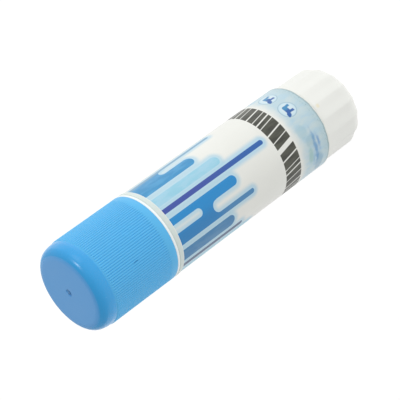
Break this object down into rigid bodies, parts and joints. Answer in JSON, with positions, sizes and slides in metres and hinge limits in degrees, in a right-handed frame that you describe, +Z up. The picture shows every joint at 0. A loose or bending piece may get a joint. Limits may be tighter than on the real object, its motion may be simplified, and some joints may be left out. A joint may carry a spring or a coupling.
{
  "type": "livestock marking crayon",
  "caption": "Twist-up wax marking crayon in a round plastic case, with a ribbed push-on cap and a fluted knob that winds the wax out.",
  "frame": {"origin": "centre of the knob's flat end face, which it stands on", "axes": "+Z up the case axis towards the cap; -Y faces the front of the print; the two guide ribs in the bore lie on the X axis"},
  "size_m": [0.0324, 0.0324, 0.1297],
  "materials": {
    "case_white": "moulded white plastic, printed round the tube with blue bars and plain blocks",
    "knob_white": "moulded white plastic, satin",
    "carrier_natural": "natural moulded plastic",
    "wax_blue": "blue marking wax, dull and slightly greasy",
    "cap_blue": "moulded blue plastic, satin"
  },
  "bodies": {
    "case": {"case_tube": "case_white"},
    "knob": {"twist_knob": "knob_white"},
    "crayon": {"carrier_cup": "carrier_natural", "wax_crayon": "wax_blue"},
    "cap": {"cap": "cap_blue"}
  },
  "joints": [
    {"name": "knob_twist", "type": "hinge", "parent": "case", "child": "knob", "pos_m": [0, 0, 0.01], "axis": [0, 0, 1], "range_deg": [0, 1440]},
    {"name": "crayon_rise", "type": "slide", "parent": "case", "child": "crayon", "axis": [0, 0, 1], "range_m": [0, 0.016]},
    {"name": "cap_pull", "type": "slide", "parent": "case", "child": "cap", "axis": [0, 0, 1], "range_m": [0, 0.04]}
  ],
  "couplings": [
    {"joint": "knob_twist", "follows": "crayon_rise", "rad_per_m": 1570.8}
  ]
}
